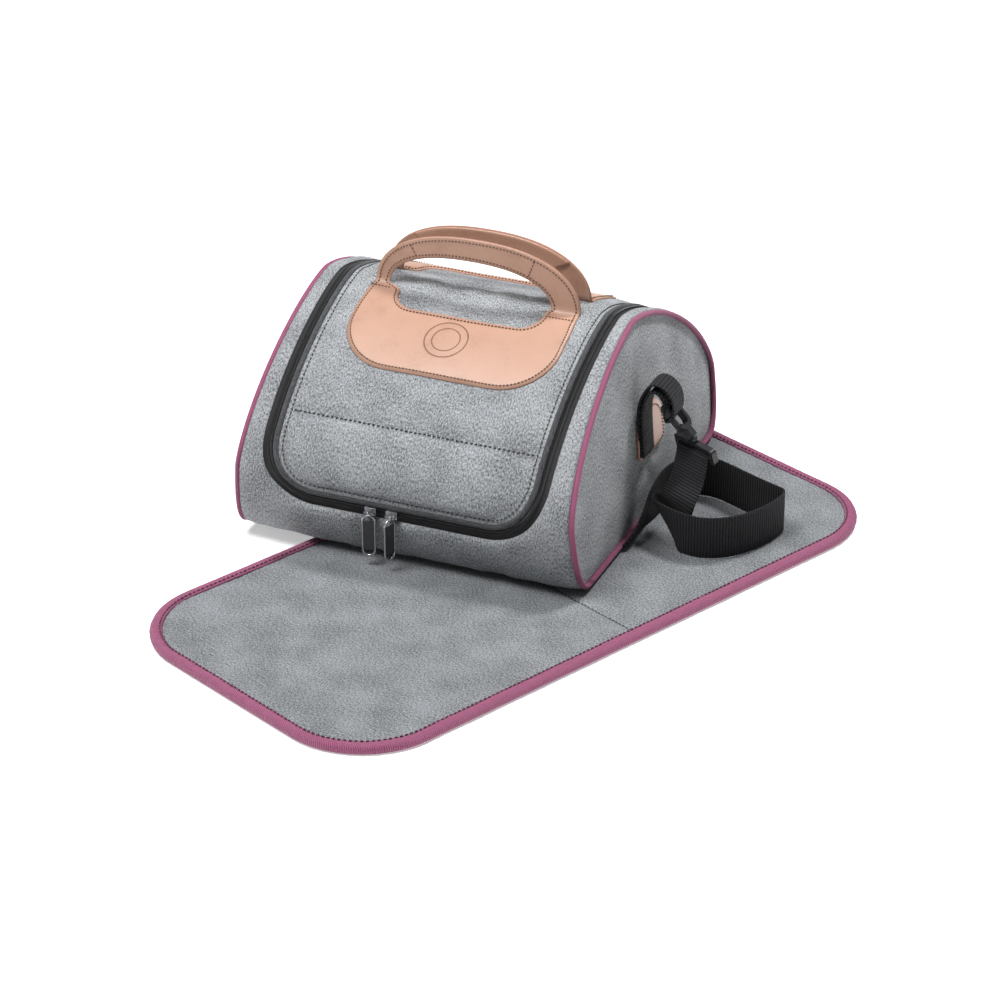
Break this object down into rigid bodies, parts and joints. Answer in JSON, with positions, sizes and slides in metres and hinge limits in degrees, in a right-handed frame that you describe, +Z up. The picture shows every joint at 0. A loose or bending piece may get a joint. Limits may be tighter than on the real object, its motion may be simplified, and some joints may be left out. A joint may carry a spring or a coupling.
{
  "type": "baby changing bag",
  "caption": "Padded tunnel-shaped baby bag with U-zipped lid, twin leather handles and shoulder strap, standing on its bound changing mat.",
  "frame": {"origin": "on the floor under the middle of the bag's base", "axes": "+Z up, +X along the bag towards the strap loop, -Y towards the zip pullers"},
  "size_m": [0.5098, 0.6917, 0.2403],
  "materials": {
    "grey_fabric": "melange woven polyester",
    "binding_pink": "woven binding tape",
    "foam": "closed-cell polyethylene foam",
    "foil": "aluminium-faced film",
    "backing": "coated waterproof cloth",
    "board": "stiff sheet",
    "zip_black": "woven zip tape",
    "coil": "nylon coil",
    "welt_grey": "folded fabric welt",
    "tan_leather": "smooth",
    "webbing": "ribbed webbing",
    "hook_plastic": "moulded acetal",
    "steel": "polished nickel",
    "rubber_black": "moulded rubber"
  },
  "bodies": {
    "mat": {"mat_padding": "foam", "mat_binding": "binding_pink", "mat_backing": "backing", "mat_face": "grey_fabric"},
    "bag": {"wrap_fabric": "grey_fabric", "wrap_foam": "foam", "wrap_lining": "foil", "base_board": "board", "zip_tape_body": "zip_black", "zip_coil_body": "coil", "end_fabric_left": "grey_fabric", "end_foam_left": "foam", "end_lining_left": "foil", "piping_left": "binding_pink", "tab_patch_left": "tan_leather", "tab_loop_left": "webbing", "hook_left": "hook_plastic", "hook_base_left": "hook_plastic", "end_fabric_right": "grey_fabric", "end_foam_right": "foam", "end_lining_right": "foil", "piping_right": "binding_pink", "tab_patch_right": "tan_leather", "tab_loop_right": "webbing", "hook_right": "hook_plastic", "hook_base_right": "hook_plastic", "strap_drop_right": "webbing", "strap_loop_right": "webbing", "strap_under": "webbing", "strap_behind": "webbing", "strap_drop_left": "webbing"},
    "lid": {"lid_fabric": "grey_fabric", "lid_foam": "foam", "lid_lining": "foil", "lid_welt": "welt_grey", "zip_tape_lid": "zip_black", "zip_coil_lid": "coil", "patch_front": "tan_leather", "patch_back": "tan_leather"},
    "front_handle": {"handle_front": "tan_leather", "handle_pad_front": "tan_leather"},
    "back_handle": {"handle_back": "tan_leather", "handle_pad_back": "tan_leather"},
    "slider_left": {"slider_left": "steel"},
    "puller_left": {"puller_link_left": "steel", "puller_left": "steel", "puller_insert_left": "rubber_black"},
    "gate_left": {"hook_gate_left": "hook_plastic"},
    "slider_right": {"slider_right": "steel"},
    "puller_right": {"puller_link_right": "steel", "puller_right": "steel", "puller_insert_right": "rubber_black"},
    "gate_right": {"hook_gate_right": "hook_plastic"}
  },
  "joints": [
    {"name": "bag_lift", "type": "slide", "parent": "mat", "child": "bag", "axis": [0, 0, 1], "range_m": [0, 0.3]},
    {"name": "lid_hinge", "type": "hinge", "parent": "bag", "child": "lid", "pos_m": [-0.004, 0.136, 0.1182], "axis": [-1, 0, 0], "range_deg": [0, 100]},
    {"name": "front_handle_hinge", "type": "hinge", "parent": "lid", "child": "front_handle", "pos_m": [0, -0.013, 0.18734], "axis": [1, 0, 0], "range_deg": [-8, 92]},
    {"name": "back_handle_hinge", "type": "hinge", "parent": "lid", "child": "back_handle", "pos_m": [0, 0.013, 0.18734], "axis": [-1, 0, 0], "range_deg": [-8, 92]},
    {"name": "left_slider_slide", "type": "slide", "parent": "lid", "child": "slider_left", "axis": [-1, 0, 0], "range_m": [0, 0.042]},
    {"name": "right_slider_slide", "type": "slide", "parent": "lid", "child": "slider_right", "axis": [1, 0, 0], "range_m": [0, 0.072]},
    {"name": "left_puller_hinge", "type": "hinge", "parent": "slider_left", "child": "puller_left", "pos_m": [-0.028, -0.17496, 0.056], "axis": [-1, 0, 0], "range_deg": [0, 140]},
    {"name": "right_puller_hinge", "type": "hinge", "parent": "slider_right", "child": "puller_right", "pos_m": [-0.009, -0.17496, 0.056], "axis": [-1, 0, 0], "range_deg": [0, 140]},
    {"name": "left_gate_hinge", "type": "hinge", "parent": "bag", "child": "gate_left", "pos_m": [-0.17508, 0.001, 0.10191], "axis": [-0.9078, 0, 0.4195], "range_deg": [0, 22], "stiffness_Nm_per_rad": 0.02},
    {"name": "right_gate_hinge", "type": "hinge", "parent": "bag", "child": "gate_right", "pos_m": [0.18463, -0.02456, 0.10682], "axis": [-0.7087, 0, -0.7055], "range_deg": [0, 22], "stiffness_Nm_per_rad": 0.02}
  ]
}
